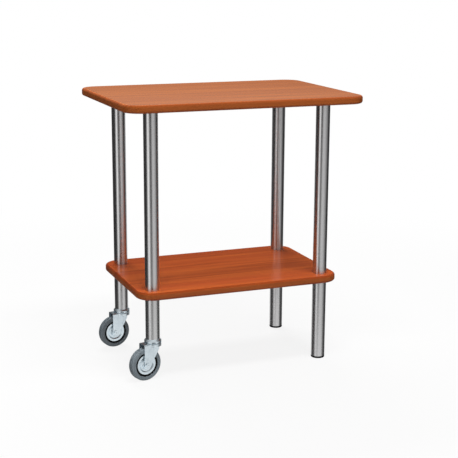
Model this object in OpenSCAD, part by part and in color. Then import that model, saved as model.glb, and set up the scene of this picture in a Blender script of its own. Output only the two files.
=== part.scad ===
// Two-tier gueridon trolley: a top board and a lower shelf on four round steel
// legs, two of them on swivel castors and two on plain glide feet.
// Millimetres. Origin on the floor under the middle of the top board, X along
// the long side with the castors at -X, the front at -Y, Z up.

/* [Boards] */
// Length of the top board, along X
top_length = 700; // [640:5:900]
// Width of the top board, along Y
top_width = 500; // [440:5:600]
// How far the shelf's ends stand in from the top board's ends
shelf_end_setback = 47; // [10:1:60]
// How far the shelf's long edges stand in from the top board's long edges
shelf_side_setback = 52; // [10:1:64]
// Thickness of both boards
board_thickness = 22; // [18:1:30]
// Corner radius of both boards, seen from above
corner_radius = 50; // [30:1:60]
// Rounding of the boards' edges, top and bottom
edge_radius = 7; // [3:0.5:8]

/* [Heights] */
// Height of the top board's upper face above the floor
top_height = 780; // [720:5:860]
// Height of the shelf's upper face above the floor
shelf_height = 258; // [220:1:400]

/* [Legs] */
// Distance from the top board's ends to the leg axes
leg_end_setback = 94; // [90:1:150]
// Distance from the top board's long edges to the leg axes
leg_side_setback = 95.5; // [94:0.5:150]
// Outside diameter of the leg tubes
tube_diameter = 40; // [36:1:44]
// Wall of the leg tubes
tube_wall = 1.5; // [1:0.25:2.5]

/* [Leg fasteners] */
// Length of the threaded plugs in the tube ends
plug_length = 25; // [22:1:40]
// Diameter of the studs and of the castor stems
stud_diameter = 10; // [8:1:10]
// Depth to which a stud enters a tube plug
stud_depth = 18; // [12:1:20]
// Clearance round a stud where it passes through the shelf
shelf_hole_clearance = 0.5; // [0.2:0.1:1]
// Diameter of the threaded inserts in the top board
insert_diameter = 16; // [14:1:20]
// Length of the threaded inserts
insert_length = 14; // [10:1:15]
// Room left above an insert in its blind hole
insert_room = 1; // [0.5:0.25:2]
// Radial clearance between pieces that fit into each other
fit_clearance = 0.05; // [0.02:0.01:0.1]

/* [Glide feet] */
// Height of the glide that shows under the tube
glide_height = 6; // [4:0.5:15]
// Rounding of the glide's lower edge
glide_rounding = 2; // [1:0.25:3]
// Length of the glide's spigot inside the tube
glide_spigot = 20; // [12:1:40]
// Wall of the glide's spigot
glide_wall = 3; // [2:0.5:5]

/* [Castor wheels] */
// Outside diameter of the tyre
wheel_diameter = 94; // [86:1:100]
// Width of the tyre
tyre_width = 22; // [20:0.5:26]
// Radial thickness of the tyre
tyre_thickness = 12; // [9:0.5:13]
// Rounding of the tyre's shoulders
tyre_shoulder = 5; // [3:0.5:6]
// Width of the grooves round the tread
groove_width = 0.8; // [0.4:0.1:1.2]
// Depth of the grooves round the tread
groove_depth = 0.6; // [0.3:0.1:1]
// Distance between the grooves round the tread
groove_pitch = 2.5; // [2:0.1:2.6]
// Radius of the pressed hub discs
disc_radius = 29; // [27:0.5:30]
// Sheet thickness of the pressed hub discs
disc_sheet = 1.2; // [0.8:0.1:1.5]
// Diameter of the axle
axle_diameter = 8; // [6:0.5:9]
// Wall of the bush that turns on the axle
bush_wall = 2; // [1.5:0.25:2.5]

/* [Castor forks] */
// Horizontal distance from the swivel axis to the axle
trail = 26.5; // [24:0.5:34]
// Thickness of the fork's sheet
fork_sheet = 2.5; // [2:0.25:3]
// Gap between the tyre's side and the fork arm
tyre_side_gap = 1.3; // [1:0.1:2.5]
// Height from the tyre up to the underside of the fork's crown
crown_clearance = 9.5; // [9:0.5:14]
// Radius of the arm's lower end round the axle
arm_end_radius = 9; // [8:0.5:12]
// Outward bend of the arm's edge on the swivel side, in degrees
flank_bend = 20; // [10:1:24]
// Turn of the front castor: degrees from straight behind, towards the front
front_castor_turn = 14; // [-180:1:180]
// Turn of the back castor: degrees from straight behind, towards the front
back_castor_turn = 9; // [-180:1:180]

/* [Castor heads] */
// How far the swivel head stands out round the tube
head_overhang = 4; // [3:0.5:6]
// Height from the fork's crown to the tube's lower end
head_height = 12; // [11:0.5:16]
// Height of the swivel head's straight rim
head_rim = 5.5; // [4:0.5:7]
// Gap between the swivel head's rim and the crown
head_gap = 1; // [0.5:0.1:1.5]
// Number of slots through the swivel head's rim
head_slot_count = 6; // [3:1:8]
// Length of a slot round the swivel head's rim
head_slot_length = 10; // [6:0.5:12]
// Height of a slot in the swivel head's rim
head_slot_height = 3; // [1:0.25:3.5]
// Turn of the front swivel head on its stem, in degrees
front_head_turn = 5; // [-180:1:180]
// Turn of the back swivel head on its stem, in degrees
back_head_turn = 8; // [-180:1:180]
// Radius of the balls in the swivel head
head_ball_radius = 2.5; // [2.2:0.1:2.6]
// Number of balls in the swivel head
head_ball_count = 14; // [8:1:16]
// Radius of the balls under the crown
race_ball_radius = 1.5; // [1.3:0.1:1.6]
// Number of balls under the crown
race_ball_count = 10; // [6:1:12]

/* [Hidden] */
$fn = 64;
// Small extra length by which a cutting shape runs past the face it cuts
cut = 1;

// Places of the boards and legs
leg_x = top_length / 2 - leg_end_setback;
leg_y = top_width / 2 - leg_side_setback;
shelf_length = top_length - 2 * shelf_end_setback;
shelf_width = top_width - 2 * shelf_side_setback;
top_underside = top_height - board_thickness;
shelf_underside = shelf_height - board_thickness;
front_castor_leg = [-leg_x, -leg_y];
back_castor_leg = [-leg_x, leg_y];
front_foot_leg = [leg_x, -leg_y];
back_foot_leg = [leg_x, leg_y];
castor_legs = [front_castor_leg, back_castor_leg];
all_legs = [front_castor_leg, back_castor_leg, front_foot_leg, back_foot_leg];

// Tubes and what screws into them
tube_radius = tube_diameter / 2;
plug_radius = tube_radius - tube_wall - fit_clearance;
stud_radius = stud_diameter / 2;
stud_bore = stud_radius + fit_clearance;
insert_radius = insert_diameter / 2;

// Wheel, measured along the axle from the middle of the wheel
wheel_radius = wheel_diameter / 2;
rim_radius = wheel_radius - tyre_thickness;
axle_radius = axle_diameter / 2;
axle_bore = axle_radius + fit_clearance;
bush_radius = axle_bore + bush_wall;
fork_gap = tyre_width + 2 * tyre_side_gap;
fork_width = fork_gap + 2 * fork_sheet;
thrust_gap = 0.3;
bush_length = fork_gap - 2 * thrust_gap;

// How deep the rim's ring, the discs' bosses and the rim's own boss lie
// within the tyre's side
ring_inset = 1.6;
disc_boss_inset = 0.4;
web_boss_inset = 2;
ring_face = tyre_width / 2 - ring_inset;
disc_boss_face = tyre_width / 2 - disc_boss_inset;
web_boss_half = tyre_width / 2 - web_boss_inset;

// Web and boss of the rim
web_half = 3.6;
web_boss_radius = 8.6;

// Pressed disc: a flange on the ring's seat, a dish and a boss
disc_seat = ring_face - disc_sheet;
disc_flange = 5;
disc_dish_drop = 2.8;
disc_dish_slope = 3.5;
disc_boss_radius = 10.5;
disc_boss_slope = 2.5;
ring_inner_radius = disc_radius - disc_flange;

// Fork, measured from the swivel axis and up from the floor
crown_underside = wheel_diameter + crown_clearance;
crown_top = crown_underside + fork_sheet;
crown_bend = 4;
crown_skirt = 9;
crown_edge = 3;
arm_front_x = trail + arm_end_radius;
crease_x = 4.5;
flank_x = -8.8;
flank_drop = 16;
knee_x = 1.3;
knee_drop = 38.4;
flank_spread = (crease_x - flank_x) * tan(flank_bend);
arm_reach = 100;

// Axle head and nut
axle_head_radius = 5.8;
axle_head_height = 2.6;
axle_dimple = 2.2;
nut_flats = 13;
nut_height = 6.5;
axle_tail = 1.5;

// Height of a ball's centre over its race, as a share of its radius: the rest
// of the ball lies in the race's groove
ball_rise = 0.68;

// Swivel head, measured from the swivel axis and up from the floor
castor_top = crown_top + head_height;
head_radius = tube_radius + head_overhang;
head_skirt = 2.5;
head_skirt_bottom = crown_top + head_gap;
head_shoulder = head_skirt_bottom + head_rim;
head_plate = 2.5;
head_ball_inset = 6.5;
head_ball_path = head_radius - head_ball_inset;
head_ball_height = crown_top + ball_rise * head_ball_radius;
head_race = crown_top + 2 * ball_rise * head_ball_radius;
head_race_land = 1;
head_well_radius = head_ball_path - head_ball_radius - head_race_land;

// Lower ball race under the crown
race_ball_path = 8.4;
race_ball_height = crown_underside - ball_rise * race_ball_radius;
race_top = crown_underside - 2 * ball_rise * race_ball_radius;
race_thickness = 2;
race_side_gap = 0.8;
race_radius = fork_gap / 2 - race_side_gap;
stem_head_radius = 8;
stem_head_height = 4;
stem_head_top = race_top - race_thickness;

// Point where a line from a point meets a circle as its lower tangent
function tangent_point(from, centre, radius) =
    let (
        reach = norm(centre - from),
        heading = atan2(centre.y - from.y, centre.x - from.x) - asin(radius / reach),
        length = sqrt(reach * reach - radius * radius)
    )
    from + length * [cos(heading), sin(heading)];

// Boards

// Half section of a board's rounded edge, from the corner's centre outwards
module edge_section() {
    square([corner_radius - edge_radius, board_thickness]);
    translate([0, edge_radius])
        square([corner_radius, board_thickness - 2 * edge_radius]);
    for (height = [edge_radius, board_thickness - edge_radius])
        translate([corner_radius - edge_radius, height])
            circle(edge_radius);
}

// Board with rounded corners and edges, its underside at height 0
module board(length, width) {
    inner_length = length - 2 * corner_radius;
    inner_width = width - 2 * corner_radius;
    translate([-inner_length / 2, -inner_width / 2, 0])
        cube([inner_length, inner_width, board_thickness]);
    for (turn = [0, 180])
        rotate(turn) {
            translate([inner_length / 2, 0, 0])
                rotate([90, 0, 0])
                    linear_extrude(inner_width, center = true)
                        edge_section();
            translate([0, inner_width / 2, 0])
                rotate([90, 0, 90])
                    linear_extrude(inner_length, center = true)
                        edge_section();
            translate([inner_length / 2, inner_width / 2, 0])
                rotate_extrude(angle = 90)
                    edge_section();
            translate([-inner_length / 2, inner_width / 2, 0])
                rotate(90)
                    rotate_extrude(angle = 90)
                        edge_section();
        }
}

// Top board with a blind hole for an insert over each leg
module top_board() {
    color("peru")
        difference() {
            translate([0, 0, top_underside])
                board(top_length, top_width);
            for (leg = all_legs)
                translate([leg.x, leg.y, top_underside - cut])
                    cylinder(r = insert_radius + fit_clearance, h = insert_length + insert_room + cut);
        }
}

// Lower shelf with a hole through it at each leg
module lower_shelf() {
    color("sienna")
        difference() {
            translate([0, 0, shelf_underside])
                board(shelf_length, shelf_width);
            for (leg = all_legs)
                translate([leg.x, leg.y, shelf_underside - cut])
                    cylinder(r = stud_radius + shelf_hole_clearance, h = board_thickness + 2 * cut);
        }
}

// Legs

// Length of leg tube between two heights
module tube(leg, bottom, top) {
    color("silver")
        difference() {
            translate([leg.x, leg.y, bottom])
                cylinder(r = tube_radius, h = top - bottom);
            translate([leg.x, leg.y, bottom - cut])
                cylinder(r = tube_radius - tube_wall, h = top - bottom + 2 * cut);
        }
}

module upper_tube_castor_front() {
    tube(front_castor_leg, shelf_height, top_underside);
}

module upper_tube_castor_back() {
    tube(back_castor_leg, shelf_height, top_underside);
}

module upper_tube_foot_front() {
    tube(front_foot_leg, shelf_height, top_underside);
}

module upper_tube_foot_back() {
    tube(back_foot_leg, shelf_height, top_underside);
}

module castor_tube_front() {
    tube(front_castor_leg, castor_top, shelf_underside);
}

module castor_tube_back() {
    tube(back_castor_leg, castor_top, shelf_underside);
}

module foot_tube_front() {
    tube(front_foot_leg, glide_height, shelf_underside);
}

module foot_tube_back() {
    tube(back_foot_leg, glide_height, shelf_underside);
}

// Threaded plugs that close the tube ends, standing on one height
module tube_plugs(legs, bottom) {
    color("gray")
        for (leg = legs)
            difference() {
                translate([leg.x, leg.y, bottom])
                    cylinder(r = plug_radius, h = plug_length);
                translate([leg.x, leg.y, bottom - cut])
                    cylinder(r = stud_bore, h = plug_length + 2 * cut);
            }
}

module top_plugs() {
    tube_plugs(all_legs, top_underside - plug_length);
}

module shelf_upper_plugs() {
    tube_plugs(all_legs, shelf_height);
}

module shelf_lower_plugs() {
    tube_plugs(all_legs, shelf_underside - plug_length);
}

module castor_plugs() {
    tube_plugs(castor_legs, castor_top);
}

// Studs between two heights
module studs(bottom, top) {
    color("dimgray")
        for (leg = all_legs)
            translate([leg.x, leg.y, bottom])
                cylinder(r = stud_radius, h = top - bottom);
}

module top_studs() {
    studs(top_underside - stud_depth, top_underside + insert_length);
}

module shelf_studs() {
    studs(shelf_underside - stud_depth, shelf_height + stud_depth);
}

// Threaded inserts in the underside of the top board
module top_inserts() {
    color("darkgoldenrod")
        for (leg = all_legs)
            difference() {
                translate([leg.x, leg.y, top_underside])
                    cylinder(r = insert_radius, h = insert_length);
                translate([leg.x, leg.y, top_underside - cut])
                    cylinder(r = stud_bore, h = insert_length + 2 * cut);
            }
}

// Section of a glide foot, from the leg axis outwards
module glide_section() {
    difference() {
        union() {
            translate([0, glide_rounding])
                square([tube_radius, glide_height - glide_rounding]);
            square([tube_radius - glide_rounding, glide_height]);
            translate([tube_radius - glide_rounding, glide_rounding])
                circle(glide_rounding);
            square([plug_radius, glide_height + glide_spigot]);
        }
        translate([0, glide_height])
            square([plug_radius - glide_wall, glide_spigot + cut]);
        translate([-glide_rounding - cut, -cut])
            square([glide_rounding + cut, glide_height + glide_spigot + 2 * cut]);
    }
}

// Plastic glide pushed into the end of a foot leg
module glide(leg) {
    color("black")
        translate([leg.x, leg.y, 0])
            rotate_extrude()
                glide_section();
}

module glide_front() {
    glide(front_foot_leg);
}

module glide_back() {
    glide(back_foot_leg);
}

// Castors, each with its swivel axis at the origin and its wheel at +X

module front_castor() {
    translate([front_castor_leg.x, front_castor_leg.y, 0])
        rotate(180 + front_castor_turn)
            children();
}

module back_castor() {
    translate([back_castor_leg.x, back_castor_leg.y, 0])
        rotate(180 + back_castor_turn)
            children();
}

// Turns a shape made round Z so that it lies round the axle
module on_axle() {
    translate([trail, 0, wheel_radius])
        rotate([-90, 0, 0])
            children();
}

// Ring of balls round the swivel axis
module ball_ring(count, path, height, radius) {
    color("lightgray")
        for (index = [0 : count - 1])
            rotate(index * 360 / count)
                translate([path, 0, height])
                    sphere(radius);
}

// Round groove in which a ring of balls runs
module ball_groove(path, height, radius) {
    translate([0, 0, height])
        rotate_extrude()
            translate([path, 0])
                circle(radius + fit_clearance);
}

// Stem with its head under the lower race, screwed into the leg's plug
module stem() {
    color("gray") {
        translate([0, 0, stem_head_top - stem_head_height])
            cylinder(r = stem_head_radius, h = stem_head_height);
        translate([0, 0, stem_head_top])
            cylinder(r = stud_radius, h = castor_top + stud_depth - stem_head_top);
    }
}

// Slots through the swivel head's rim, in front of the upper balls
module head_slots() {
    reach = 2 * (head_skirt + cut);
    for (index = [0 : head_slot_count - 1])
        rotate(index * 360 / head_slot_count)
            translate([head_radius, 0, head_skirt_bottom + head_rim / 2])
                cube([reach, head_slot_length, head_slot_height], center = true);
}

// Swivel head: a cup whose rim covers the upper balls
module swivel_head() {
    color("lightsteelblue")
        difference() {
            rotate_extrude()
                polygon([
                    [stud_bore, castor_top - head_plate],
                    [head_well_radius, castor_top - head_plate],
                    [head_well_radius, head_race],
                    [head_radius - head_skirt, head_race],
                    [head_radius - head_skirt, head_skirt_bottom],
                    [head_radius, head_skirt_bottom],
                    [head_radius, head_shoulder],
                    [tube_radius, castor_top - head_gap],
                    [tube_radius, castor_top],
                    [stud_bore, castor_top]
                ]);
            ball_groove(head_ball_path, head_ball_height, head_ball_radius);
            head_slots();
        }
}

// Dished washer on which the lower balls run
module lower_race() {
    color("gray")
        difference() {
            translate([0, 0, race_top - race_thickness])
                cylinder(r = race_radius, h = race_thickness);
            translate([0, 0, race_top - race_thickness - cut])
                cylinder(r = stud_bore, h = race_thickness + 2 * cut);
            ball_groove(race_ball_path, race_ball_height, race_ball_radius);
        }
}

module head_balls() {
    ball_ring(head_ball_count, head_ball_path, head_ball_height, head_ball_radius);
}

module race_balls() {
    ball_ring(race_ball_count, race_ball_path, race_ball_height, race_ball_radius);
}

// Side outline of the fork, from the swivel axis and up from the floor
module fork_outline() {
    axle_point = [trail, wheel_radius];
    knee = [knee_x, crown_top - knee_drop];
    foot = tangent_point(knee, axle_point, arm_end_radius);
    polygon([
        [arm_front_x, crown_top],
        [arm_front_x, wheel_radius],
        axle_point,
        foot,
        knee,
        [flank_x, crown_top - flank_drop],
        [flank_x, crown_top]
    ]);
    translate(axle_point)
        circle(arm_end_radius);
}

// Plan of one fork arm, its edge on the swivel side bent outwards
module arm_plan() {
    inner = fork_gap / 2;
    outer = inner + fork_sheet;
    polygon([
        [arm_front_x, inner],
        [crease_x, inner],
        [flank_x, inner + flank_spread],
        [flank_x, outer + flank_spread],
        [crease_x, outer],
        [arm_front_x, outer]
    ]);
}

// Both arms and the part of the crown that bridges them over the wheel
module fork_arms() {
    intersection() {
        union() {
            for (side = [0, 1])
                mirror([0, side, 0])
                    linear_extrude(crown_top)
                        arm_plan();
            translate([0, -fork_width / 2, crown_underside])
                cube([arm_front_x, fork_width, fork_sheet]);
        }
        rotate([90, 0, 0])
            linear_extrude(2 * arm_reach, center = true)
                fork_outline();
    }
}

// Rounds the bend between the crown and one arm
module crown_bend_cut() {
    difference() {
        translate([crease_x, fork_width / 2 - crown_bend, crown_top - crown_bend])
            cube([arm_front_x, crown_bend + cut, crown_bend + cut]);
        translate([crease_x - cut, fork_width / 2 - crown_bend, crown_top - crown_bend])
            rotate([0, 90, 0])
                cylinder(r = crown_bend, h = arm_front_x + 2 * cut);
    }
}

// Round dish of the crown round the swivel axis
module crown_dish() {
    skirt_bottom = crown_top - crown_skirt;
    rotate_extrude()
        difference() {
            union() {
                translate([0, skirt_bottom])
                    square([head_radius, crown_skirt - crown_edge]);
                translate([0, skirt_bottom])
                    square([head_radius - crown_edge, crown_skirt]);
                translate([head_radius - crown_edge, crown_top - crown_edge])
                    circle(crown_edge);
            }
            translate([0, skirt_bottom - cut])
                square([head_radius - fork_sheet, crown_skirt - fork_sheet + cut]);
        }
}

module fork() {
    color("lightsteelblue")
        difference() {
            union() {
                difference() {
                    fork_arms();
                    for (side = [0, 1])
                        mirror([0, side, 0])
                            crown_bend_cut();
                }
                difference() {
                    crown_dish();
                    translate([0, -fork_gap / 2, crown_top - crown_skirt - cut])
                        cube([arm_front_x, fork_gap, crown_skirt - fork_sheet + cut]);
                }
            }
            translate([0, 0, crown_underside - cut])
                cylinder(r = stud_bore, h = fork_sheet + 2 * cut);
            ball_groove(head_ball_path, head_ball_height, head_ball_radius);
            ball_groove(race_ball_path, race_ball_height, race_ball_radius);
            on_axle()
                cylinder(r = axle_bore, h = fork_width + 2 * cut, center = true);
        }
}

// Axle with a low round head on the side that faces the front
module axle() {
    color("lightgray")
        on_axle()
            difference() {
                union() {
                    translate([0, 0, fork_width / 2])
                        cylinder(r = axle_head_radius, h = axle_head_height);
                    translate([0, 0, -fork_width / 2 - nut_height - axle_tail])
                        cylinder(r = axle_radius, h = fork_width + nut_height + axle_tail);
                }
                translate([0, 0, fork_width / 2 + axle_head_height + axle_dimple / 2])
                    sphere(axle_dimple);
            }
}

module axle_nut() {
    color("lightgray")
        on_axle()
            difference() {
                translate([0, 0, -fork_width / 2 - nut_height])
                    cylinder(r = nut_flats / sqrt(3), h = nut_height, $fn = 6);
                translate([0, 0, -fork_width / 2 - nut_height - cut])
                    cylinder(r = axle_bore, h = nut_height + 2 * cut);
            }
}

module bush() {
    color("gray")
        on_axle()
            difference() {
                cylinder(r = bush_radius, h = bush_length, center = true);
                cylinder(r = axle_bore, h = bush_length + 2 * cut, center = true);
            }
}

// Black wheel centre with a boss, a web and a ring that carries the tyre
module wheel_rim() {
    color("black")
        on_axle()
            difference() {
                union() {
                    cylinder(r = web_boss_radius, h = 2 * web_boss_half, center = true);
                    cylinder(r = rim_radius, h = 2 * web_half, center = true);
                    difference() {
                        cylinder(r = rim_radius, h = 2 * ring_face, center = true);
                        cylinder(r = ring_inner_radius, h = 2 * ring_face + cut, center = true);
                        for (side = [0, 1])
                            mirror([0, 0, side])
                                translate([0, 0, disc_seat])
                                    cylinder(r = disc_radius + fit_clearance, h = ring_face);
                    }
                }
                cylinder(r = bush_radius + fit_clearance, h = tyre_width, center = true);
            }
}

// Section of a pressed disc from the bush outwards, its flange on the seat
module disc_section() {
    dish = disc_seat - disc_dish_drop;
    boss = disc_boss_face - disc_sheet;
    dish_outer = ring_inner_radius - disc_dish_slope;
    dish_inner = disc_boss_radius + disc_boss_slope;
    polygon([
        [disc_radius, disc_seat],
        [ring_inner_radius, disc_seat],
        [dish_outer, dish],
        [dish_inner, dish],
        [disc_boss_radius, boss],
        [bush_radius + fit_clearance, boss],
        [bush_radius + fit_clearance, disc_boss_face],
        [disc_boss_radius + disc_sheet, disc_boss_face],
        [dish_inner + disc_sheet, dish + disc_sheet],
        [dish_outer - disc_sheet, dish + disc_sheet],
        [ring_inner_radius - disc_sheet, disc_seat + disc_sheet],
        [disc_radius, disc_seat + disc_sheet]
    ]);
}

module hub_discs() {
    color("lightsteelblue")
        on_axle()
            for (side = [0, 1])
                mirror([0, 0, side])
                    rotate_extrude()
                        disc_section();
}

// Tyre with rounded shoulders and fine grooves round its tread
module tyre() {
    half = tyre_width / 2;
    inner = rim_radius + fit_clearance;
    color("slategray")
        on_axle()
            rotate_extrude()
                difference() {
                    union() {
                        translate([inner, -half])
                            square([wheel_radius - tyre_shoulder - inner, tyre_width]);
                        translate([inner, tyre_shoulder - half])
                            square([wheel_radius - inner, tyre_width - 2 * tyre_shoulder]);
                        for (side = [-1, 1])
                            translate([wheel_radius - tyre_shoulder, side * (half - tyre_shoulder)])
                                circle(tyre_shoulder);
                    }
                    for (step = [-2 : 2])
                        translate([wheel_radius - groove_depth, step * groove_pitch - groove_width / 2])
                            square([groove_depth + cut, groove_width]);
                }
}

module stem_front() {
    front_castor()
        stem();
}

module swivel_head_front() {
    front_castor()
        rotate(front_head_turn)
            swivel_head();
}

module lower_race_front() {
    front_castor()
        lower_race();
}

module head_balls_front() {
    front_castor()
        head_balls();
}

module race_balls_front() {
    front_castor()
        race_balls();
}

module fork_front() {
    front_castor()
        fork();
}

module axle_front() {
    front_castor()
        axle();
}

module axle_nut_front() {
    front_castor()
        axle_nut();
}

module wheel_rim_front() {
    front_castor()
        wheel_rim();
}

module hub_discs_front() {
    front_castor()
        hub_discs();
}

module bush_front() {
    front_castor()
        bush();
}

module tyre_front() {
    front_castor()
        tyre();
}

module stem_back() {
    back_castor()
        stem();
}

module swivel_head_back() {
    back_castor()
        rotate(back_head_turn)
            swivel_head();
}

module lower_race_back() {
    back_castor()
        lower_race();
}

module head_balls_back() {
    back_castor()
        head_balls();
}

module race_balls_back() {
    back_castor()
        race_balls();
}

module fork_back() {
    back_castor()
        fork();
}

module axle_back() {
    back_castor()
        axle();
}

module axle_nut_back() {
    back_castor()
        axle_nut();
}

module wheel_rim_back() {
    back_castor()
        wheel_rim();
}

module hub_discs_back() {
    back_castor()
        hub_discs();
}

module bush_back() {
    back_castor()
        bush();
}

module tyre_back() {
    back_castor()
        tyre();
}

top_board();
lower_shelf();
upper_tube_castor_front();
upper_tube_castor_back();
upper_tube_foot_front();
upper_tube_foot_back();
castor_tube_front();
castor_tube_back();
foot_tube_front();
foot_tube_back();
top_inserts();
top_studs();
top_plugs();
shelf_upper_plugs();
shelf_lower_plugs();
shelf_studs();
castor_plugs();
glide_front();
glide_back();
stem_front();
swivel_head_front();
lower_race_front();
head_balls_front();
race_balls_front();
fork_front();
axle_front();
axle_nut_front();
wheel_rim_front();
hub_discs_front();
bush_front();
tyre_front();
stem_back();
swivel_head_back();
lower_race_back();
head_balls_back();
race_balls_back();
fork_back();
axle_back();
axle_nut_back();
wheel_rim_back();
hub_discs_back();
bush_back();
tyre_back();
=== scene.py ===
# Looks of the gueridon trolley: finishes for every solid of the frame, the
# camera at the photograph's angle and a plain pale studio. Metres, Z up.
import math

import bpy
from mathutils import Matrix, Vector

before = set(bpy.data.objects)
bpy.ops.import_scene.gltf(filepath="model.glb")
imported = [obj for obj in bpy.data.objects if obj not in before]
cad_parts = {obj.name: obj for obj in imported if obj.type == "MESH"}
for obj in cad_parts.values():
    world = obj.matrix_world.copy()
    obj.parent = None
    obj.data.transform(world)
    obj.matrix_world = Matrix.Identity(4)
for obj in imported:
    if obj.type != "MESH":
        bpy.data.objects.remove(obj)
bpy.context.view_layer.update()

# Camera, fitted to the photograph's frame of 458 by 458 pixels
CAMERA_PLACE = Vector((-1.1875, -3.0908, 1.1465))
CAMERA_AZIMUTH = math.radians(-21.535)
CAMERA_PITCH = math.radians(13.114)
CAMERA_ROLL = math.radians(0.288)
CAMERA_LENS = 90.84
SENSOR_WIDTH = 36.0

# Plain light: the share of white that comes from all round, and soft lamps,
# each with its place, its width and depth and its power in watts
AMBIENT = 0.08
LAMP_AIM = Vector((0.0, 0.0, 0.5))
LAMPS = {
    "front_lamp": ((0.0, -0.95, 3.1), (1.8, 0.5), 52.0),
    "back_lamp": ((0.0, 1.6, 2.8), (1.8, 0.7), 50.0),
    "low_lamp": ((0.2, -3.0, 1.5), (1.8, 1.8), 23.0),
    "left_lamp": ((-2.6, -0.6, 1.8), (1.8, 1.8), 13.0),
    "right_lamp": ((2.8, 0.0, 2.0), (1.8, 1.8), 5.0),
}

# Laminate: the display colours of its pale hairs of grain and of its dark pores,
# and how much of its colour it keeps on the underside of a board, as painted shade
HAIR_TONE = (214, 122, 54)
PORE_TONE = (138, 60, 22)
UNDERSIDE_SHADE = 0.35

# Floor: half its width, the share of its white that stays in the object's
# shadow, how white it is to look at and for the light that it sends back up,
# and the two distances between which its share of white becomes all
FLOOR_HALF = 20.0
FLOOR_GLOW = 0.87
FLOOR_WHITE = 0.9
FLOOR_BOUNCE = 0.35
FLOOR_NEAR = 0.7
FLOOR_FAR = 2.2

# Surround that only gloss shows, as the flags and panels of a photo studio:
# bands of light and dark by bearing from +X, in degrees, and brightness
SURROUND_RADIUS = 1.65
SURROUND_BOTTOM = -1.6
SURROUND_TOP = 2.2
SURROUND_STEPS = 96
BANDS = (
    (-180, 0.03), (-172, 0.20), (-160, 1.02), (-149, 1.50), (-138, 0.78),
    (-128, 0.20), (-119, 0.03), (-110, 0.12), (-98, 0.62), (-86, 0.76),
    (-66, 0.68), (-46, 0.46), (-26, 0.16), (-12, 0.02), (10, 0.02),
    (22, 0.15), (34, 0.50), (46, 0.85), (58, 0.55), (70, 0.12),
    (80, 0.40), (92, 0.60), (102, 0.25), (112, 0.05), (180, 0.03),
)
# Panels over the bands: their brightness, the share of the bands that they
# cover, and the heights and the depths between which they come in
EVERYWHERE = (-3.0, -2.0)
PANELS = (
    (0.15, 0.5, (-0.05, -0.35), (1.1, 0.8)),
    (1.18, 0.9, (-0.38, -0.48), (-0.9, -1.2)),
    (0.05, 1.0, (0.34, 0.44), (0.8, 1.2)),
    (0.30, 1.0, (0.90, 1.05), EVERYWHERE),
    (0.80, 0.9, (-0.26, -0.38), (1.40, 1.56)),
)


class Nodes:
    """Node tree of a material or world, with short ways to add its nodes."""

    def __init__(self, tree):
        tree.nodes.clear()
        self.tree = tree

    def add(self, kind, settings=None, **inputs):
        """Adds a node. An input is a constant or another node's socket."""
        node = self.tree.nodes.new(kind)
        for name, value in (settings or {}).items():
            setattr(node, name, value)
        for name, value in inputs.items():
            self.set(node, name, value)
        return node

    def set(self, node, name, value):
        """Sets or links the input whose name reads as name, or whose number it is."""
        if isinstance(name, int):
            socket = node.inputs[name]
        else:
            socket = node.inputs[name.replace("_", " ")]
        if isinstance(value, bpy.types.NodeSocket):
            self.tree.links.new(value, socket)
        else:
            socket.default_value = value

    def place(self, scale):
        """Point on the solid in the row frame, in metres, scaled for a texture."""
        point = self.add("ShaderNodeTexCoord").outputs["Object"]
        mapping = self.add("ShaderNodeMapping", Vector=point, Scale=scale)
        return mapping.outputs["Vector"]

    def noise(self, scale, detail, roughness=0.5, distortion=0.0):
        """Noise with one period for each 1 / scale metres along each axis."""
        node = self.add(
            "ShaderNodeTexNoise",
            Vector=self.place(scale),
            Scale=1.0,
            Detail=detail,
            Roughness=roughness,
            Distortion=distortion,
        )
        return node.outputs["Fac"]

    def math(self, operation, first, second=0.0, clamp=False):
        """Number worked out from one or two others."""
        node = self.add("ShaderNodeMath", {"operation": operation, "use_clamp": clamp})
        self.set(node, 0, first)
        self.set(node, 1, second)
        return node.outputs["Value"]

    def spread(self, value, low, high, to_low=0.0, to_high=1.0, smooth=False):
        """Value taken from one range to another and held within it."""
        node = self.add(
            "ShaderNodeMapRange",
            {"interpolation_type": "SMOOTHSTEP" if smooth else "LINEAR"},
            Value=value,
            From_Min=low,
            From_Max=high,
            To_Min=to_low,
            To_Max=to_high,
        )
        return node.outputs["Result"]

    def mix(self, share, first, second, blend="MIX"):
        """Mix of two colours, which are a Mix node's inputs 6 and 7 and its output 2."""
        node = self.add("ShaderNodeMix", {"data_type": "RGBA", "blend_type": blend})
        self.set(node, 0, share)
        self.set(node, 6, first)
        self.set(node, 7, second)
        return node.outputs[2]

    def bump(self, height, distance):
        """Normal of a relief that is one distance high, in metres, where height is 1."""
        node = self.add("ShaderNodeBump", Height=height, Distance=distance)
        return node.outputs["Normal"]

    def principled(self, **inputs):
        """Ends the material with one principled shader."""
        shader = self.add("ShaderNodeBsdfPrincipled", **inputs)
        self.add("ShaderNodeOutputMaterial", Surface=shader.outputs["BSDF"])


def grey(level):
    return (level, level, level, 1.0)


def rgb(red, green, blue):
    """Linear colour from a display colour's 0 to 255 levels."""
    levels = [c / 255 for c in (red, green, blue)]
    linear = [c / 12.92 if c <= 0.04045 else ((c + 0.055) / 1.055) ** 2.4 for c in levels]
    return (*linear, 1.0)


def new_material(name):
    material = bpy.data.materials.new(name)
    material.use_nodes = True
    return material, Nodes(material.node_tree)


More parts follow.
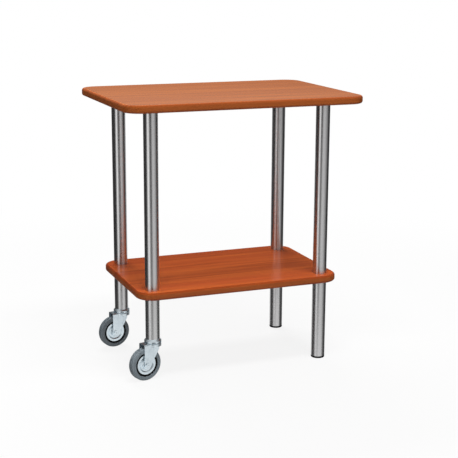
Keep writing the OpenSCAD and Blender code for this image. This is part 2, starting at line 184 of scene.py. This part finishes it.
def cherry_laminate(name, light, deep, streak_tone, edge_band_and_shade, rim_band_and_shade):
    """Cherry-toned satin laminate with its grain along X, a duller edge whose darker tone is
    partly painted shade, and painted shade on its underside.
    """
    material, nodes = new_material(name)
    wide = nodes.noise((0.9, 14, 14), detail=2, distortion=0.6)
    band = nodes.noise((2.2, 48, 48), detail=4, roughness=0.6, distortion=0.3)
    streak = nodes.noise((4, 130, 130), detail=5, roughness=0.65)
    hair = nodes.noise((16, 900, 900), detail=3, roughness=0.7)
    pores = nodes.noise((55, 1500, 1500), detail=1)
    base = nodes.mix(nodes.spread(wide, 0.36, 0.64, smooth=True), rgb(*deep), rgb(*light))
    base = nodes.mix(nodes.spread(band, 0.47, 0.70, 0.0, 0.75), base, rgb(*streak_tone))
    base = nodes.mix(nodes.spread(streak, 0.38, 0.72, 0.0, 0.45), base, rgb(*streak_tone))
    base = nodes.mix(nodes.spread(hair, 0.40, 0.75, 0.0, 0.25), base, rgb(*HAIR_TONE))
    pore = nodes.spread(pores, 0.66, 0.76, 0.0, 0.4)
    base = nodes.mix(pore, base, rgb(*PORE_TONE))
    relief = nodes.math("SUBTRACT", nodes.math("MULTIPLY", streak, 0.4), pore)
    normal = nodes.add("ShaderNodeTexCoord").outputs["Normal"]
    upward = nodes.add("ShaderNodeSeparateXYZ", Vector=normal).outputs["Z"]
    level = nodes.math("ABSOLUTE", upward)
    # The edge and its rounding take a darker tone: partly the edge band's own colour, partly
    # painted shade where the lamps light them more than the face
    rim = nodes.spread(level, 0.15, 0.60, smooth=True)
    tone = nodes.mix(rim, (*edge_band_and_shade, 1.0), (*rim_band_and_shade, 1.0))
    edge = nodes.spread(level, 0.995, 0.93, smooth=True)
    base = nodes.mix(edge, base, nodes.mix(1.0, base, tone, "MULTIPLY"))
    # Painted shade: the colour is darkened on the underside of a board
    underside = nodes.spread(upward, -0.93, -0.99, smooth=True)
    base = nodes.mix(underside, base, grey(UNDERSIDE_SHADE), "MULTIPLY")
    dull = nodes.spread(level, 0.9995, 0.985, 0.0, 0.32, smooth=True)
    nodes.principled(
        Base_Color=base,
        Roughness=nodes.math("ADD", nodes.spread(streak, 0.3, 0.7, 0.15, 0.21), dull),
        IOR=1.36,
        Normal=nodes.bump(relief, 0.00001),
    )
    return material


def satin_steel():
    """Stainless tube, satin-ground round its length, which blurs what it mirrors upwards."""
    material, nodes = new_material("satin_steel")
    grain = nodes.noise((35, 35, 2600), detail=4, roughness=0.6)
    cloud = nodes.noise((14, 14, 5), detail=3)
    base = nodes.mix(nodes.spread(grain, 0.3, 0.7), rgb(196, 196, 198), rgb(212, 211, 210))
    tangent = nodes.add("ShaderNodeTangent", {"direction_type": "RADIAL", "axis": "Z"})
    nodes.principled(
        Base_Color=base,
        Metallic=1.0,
        Roughness=nodes.spread(cloud, 0.3, 0.7, 0.25, 0.30),
        Anisotropic=0.85,
        Anisotropic_Rotation=0.25,
        Tangent=tangent.outputs["Tangent"],
        Normal=nodes.bump(grain, 0.000004),
    )
    return material


def zinc_plate():
    """Bright zinc with its bluish cast and a faint spangle."""
    material, nodes = new_material("zinc_plate")
    cells = nodes.add(
        "ShaderNodeTexVoronoi",
        Vector=nodes.place((260, 260, 260)),
        Scale=1.0,
    ).outputs["Color"]
    spangle = nodes.add("ShaderNodeSeparateColor", Color=cells).outputs["Red"]
    mottle = nodes.noise((90, 90, 90), detail=4)
    base = nodes.mix(spangle, rgb(221, 233, 240), rgb(231, 242, 248))
    base = nodes.mix(nodes.spread(mottle, 0.45, 0.75, 0.0, 0.5), base, rgb(206, 220, 228))
    rough = nodes.math(
        "ADD",
        nodes.spread(spangle, 0.0, 1.0, 0.30, 0.38),
        nodes.spread(mottle, 0.3, 0.7, 0.0, 0.08),
    )
    nodes.principled(
        Base_Color=base,
        Metallic=1.0,
        Roughness=rough,
        Normal=nodes.bump(mottle, 0.00005),
    )
    return material


def grey_rubber():
    """Grey tyre rubber, paler in random clouds and with darker specks."""
    material, nodes = new_material("grey_rubber")
    cloud = nodes.noise((45, 45, 45), detail=5, roughness=0.6)
    speck = nodes.noise((900, 900, 900), detail=3)
    base = nodes.mix(nodes.spread(cloud, 0.35, 0.7), rgb(136, 147, 154), rgb(152, 163, 170))
    base = nodes.mix(nodes.spread(speck, 0.55, 0.8, 0.0, 0.5), base, rgb(108, 114, 120))
    nodes.principled(
        Base_Color=base,
        Roughness=nodes.spread(cloud, 0.3, 0.7, 0.58, 0.74),
        IOR=1.5,
        Normal=nodes.bump(speck, 0.00008),
    )
    return material


def black_plastic():
    """Moulded black plastic with a fine spark-eroded grain that takes its gloss."""
    material, nodes = new_material("black_plastic")
    grain = nodes.noise((1300, 1300, 1300), detail=2)
    cloud = nodes.noise((60, 60, 60), detail=3)
    base = nodes.mix(nodes.spread(cloud, 0.35, 0.7), rgb(7, 7, 8), rgb(14, 14, 15))
    nodes.principled(
        Base_Color=base,
        Roughness=nodes.spread(grain, 0.3, 0.7, 0.45, 0.60),
        IOR=1.5,
        Specular_IOR_Level=0.12,
        Normal=nodes.bump(grain, 0.00005),
    )
    return material


def turned_metal(name, low, high, rough):
    """Turned or drawn metal with fine tool marks and small stains."""
    material, nodes = new_material(name)
    marks = nodes.noise((400, 400, 2200), detail=3, roughness=0.7)
    stain = nodes.noise((120, 120, 120), detail=4)
    base = nodes.mix(nodes.spread(stain, 0.35, 0.75), rgb(*high), rgb(*low))
    nodes.principled(
        Base_Color=base,
        Metallic=1.0,
        Roughness=nodes.spread(marks, 0.3, 0.7, rough - 0.04, rough + 0.08),
        Normal=nodes.bump(marks, 0.00002),
    )
    return material


def give_finishes():
    """Gives each solid the finish that its node's name starts with."""
    top_wood = cherry_laminate(
        "top_laminate",
        light=(213, 119, 46),
        deep=(197, 107, 41),
        streak_tone=(172, 88, 33),
        edge_band_and_shade=(0.77, 0.70, 0.80),
        rim_band_and_shade=(0.69, 0.55, 0.60),
    )
    # Painted light: the shelf's laminate is paler than the top's to make up for the top board's
    # shade over it; its darker edges are partly painted shade
    shelf_wood_lit = cherry_laminate(
        "shelf_laminate_lit",
        light=(245, 118, 49),
        deep=(224, 99, 43),
        streak_tone=(188, 75, 30),
        edge_band_and_shade=(0.55, 0.66, 0.78),
        rim_band_and_shade=(0.50, 0.43, 0.38),
    )
    steel, zinc = satin_steel(), zinc_plate()
    plastic, rubber = black_plastic(), grey_rubber()
    hardware = turned_metal("hardware_steel", (158, 160, 162), (186, 188, 190), 0.30)
    bright = turned_metal("ball_steel", (196, 198, 201), (222, 224, 226), 0.10)
    brass = turned_metal("brass", (176, 136, 66), (206, 170, 92), 0.26)
    finishes = {
        "top_board": top_wood,
        "lower_shelf": shelf_wood_lit,
        "upper_tube": steel,
        "castor_tube": steel,
        "foot_tube": steel,
        "glide": plastic,
        "swivel_head": zinc,
        "fork": zinc,
        "hub_discs": zinc,
        "axle": zinc,
        "tyre": rubber,
        "wheel_rim": plastic,
        "bush": hardware,
        "head_balls": bright,
        "race_balls": bright,
        "top_inserts": brass,
        "lower_race": hardware,
        "stem": hardware,
        "top_studs": hardware,
        "shelf_studs": hardware,
        "top_plugs": hardware,
        "shelf_upper_plugs": hardware,
        "shelf_lower_plugs": hardware,
        "castor_plugs": hardware,
    }
    for name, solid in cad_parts.items():
        finish = next(finishes[start] for start in finishes if name.startswith(start))
        for slot in solid.material_slots:
            slot.material = finish


def make_camera():
    """Camera at the photograph's place and angle."""
    data = bpy.data.cameras.new("camera")
    data.sensor_width = SENSOR_WIDTH
    data.lens = CAMERA_LENS
    flat = math.cos(CAMERA_PITCH)
    forward = Vector((
        -math.sin(CAMERA_AZIMUTH) * flat,
        math.cos(CAMERA_AZIMUTH) * flat,
        -math.sin(CAMERA_PITCH),
    ))
    level = Vector((math.cos(CAMERA_AZIMUTH), math.sin(CAMERA_AZIMUTH), 0.0))
    upright = level.cross(forward)
    right = level * math.cos(CAMERA_ROLL) + upright * math.sin(CAMERA_ROLL)
    up = right.cross(forward)
    turn = Matrix((right, up, -forward)).transposed().to_4x4()
    camera = bpy.data.objects.new("camera", data)
    camera.matrix_world = Matrix.Translation(CAMERA_PLACE) @ turn
    bpy.context.scene.collection.objects.link(camera)
    bpy.context.scene.camera = camera


def white_for_looking(nodes):
    """One for rays that show the background: from the camera, off gloss or through glass."""
    path = nodes.add("ShaderNodeLightPath").outputs
    seen = nodes.math("ADD", path["Is Camera Ray"], path["Is Glossy Ray"], clamp=True)
    return nodes.math("ADD", seen, path["Is Transmission Ray"], clamp=True)


def make_world():
    """White wherever it is looked at, and a plain even light from all round."""
    world = bpy.data.worlds.new("world")
    world.use_nodes = True
    bpy.context.scene.world = world
    nodes = Nodes(world.node_tree)
    strength = nodes.spread(white_for_looking(nodes), 0.0, 1.0, AMBIENT, 1.0)
    sky = nodes.add("ShaderNodeBackground", Color=grey(1.0), Strength=strength)
    nodes.add("ShaderNodeOutputWorld", Surface=sky.outputs["Background"])


def add_stage_mesh(name, points, faces, material):
    mesh = bpy.data.meshes.new(name)
    mesh.from_pydata(points, [], faces)
    mesh.materials.append(material)
    stage = bpy.data.objects.new(name, mesh)
    bpy.context.scene.collection.objects.link(stage)
    return stage


def make_floor():
    """Pale floor that shows white and keeps the object's soft shadow."""
    material, nodes = new_material("floor")
    looked_at = white_for_looking(nodes)
    tone = nodes.mix(looked_at, grey(FLOOR_BOUNCE), grey(FLOOR_WHITE))
    pale = nodes.add("ShaderNodeBsdfDiffuse", Color=tone)
    point = nodes.add("ShaderNodeTexCoord").outputs["Object"]
    distance = nodes.add("ShaderNodeVectorMath", {"operation": "LENGTH"})
    nodes.set(distance, 0, point)
    white = nodes.spread(
        distance.outputs["Value"], FLOOR_NEAR, FLOOR_FAR, FLOOR_GLOW, 1.0, smooth=True
    )
    share = nodes.math("MULTIPLY", looked_at, white)
    lit = nodes.add("ShaderNodeEmission", Color=grey(1.0), Strength=1.0)
    mixed = nodes.add("ShaderNodeMixShader")
    nodes.set(mixed, 0, share)
    nodes.set(mixed, 1, pale.outputs["BSDF"])
    nodes.set(mixed, 2, lit.outputs["Emission"])
    nodes.add("ShaderNodeOutputMaterial", Surface=mixed.outputs["Shader"])
    half = FLOOR_HALF
    corners = [(-half, -half, 0), (half, -half, 0), (half, half, 0), (-half, half, 0)]
    floor = add_stage_mesh("floor", corners, [(0, 1, 2, 3)], material)
    floor.visible_glossy = False


def make_surround():
    """Round wall of light and dark bands that only gloss shows."""
    material, nodes = new_material("surround")
    point = nodes.add("ShaderNodeTexCoord").outputs["Object"]
    parts = nodes.add("ShaderNodeSeparateXYZ", Vector=point).outputs
    bearing = nodes.math("ARCTAN2", parts["Y"], parts["X"])
    along = nodes.spread(bearing, -math.pi, math.pi)
    ramp = nodes.add("ShaderNodeValToRGB", Fac=along)
    stops = ramp.color_ramp.elements
    while len(stops) > 1:
        stops.remove(stops[-1])
    for index, (degrees, level) in enumerate(BANDS):
        position = (degrees + 180) / 360
        stop = stops[0] if index == 0 else stops.new(position)
        stop.position = position
        stop.color = grey(level)
    shade = ramp.outputs["Color"]
    for level, share, heights, depths in PANELS:
        cover = nodes.math(
            "MULTIPLY",
            nodes.spread(parts["Z"], *heights, 0.0, share, smooth=True),
            nodes.spread(parts["Y"], *depths, smooth=True),
        )
        shade = nodes.mix(cover, shade, grey(level))
    glow = nodes.add("ShaderNodeEmission", Color=shade, Strength=1.0)
    nodes.add("ShaderNodeOutputMaterial", Surface=glow.outputs["Emission"])
    material.cycles.emission_sampling = "NONE"
    points, faces = [], []
    for step in range(SURROUND_STEPS):
        angle = 2 * math.pi * step / SURROUND_STEPS
        spot = (SURROUND_RADIUS * math.cos(angle), SURROUND_RADIUS * math.sin(angle))
        points += [(*spot, SURROUND_BOTTOM), (*spot, SURROUND_TOP)]
        after = (step + 1) % SURROUND_STEPS
        faces.append((2 * step, 2 * after, 2 * after + 1, 2 * step + 1))
    wall = add_stage_mesh("surround", points, faces, material)
    wall.visible_camera = False
    wall.visible_diffuse = False
    wall.visible_transmission = False
    wall.visible_volume_scatter = False
    wall.visible_shadow = False


def make_lamps():
    """Large soft lamps, aimed at the middle of the object, that gloss doesn't show."""
    for name, (place, (width, depth), power) in LAMPS.items():
        data = bpy.data.lights.new(name, "AREA")
        data.shape = "RECTANGLE"
        data.size = width
        data.size_y = depth
        data.energy = power
        lamp = bpy.data.objects.new(name, data)
        lamp.location = place
        lamp.rotation_mode = "QUATERNION"
        lamp.rotation_quaternion = (LAMP_AIM - lamp.location).to_track_quat("-Z", "Y")
        lamp.visible_glossy = False
        bpy.context.scene.collection.objects.link(lamp)


make_camera()
make_world()
make_floor()
make_surround()
make_lamps()
give_finishes()
bpy.context.scene.view_settings.view_transform = "Standard"
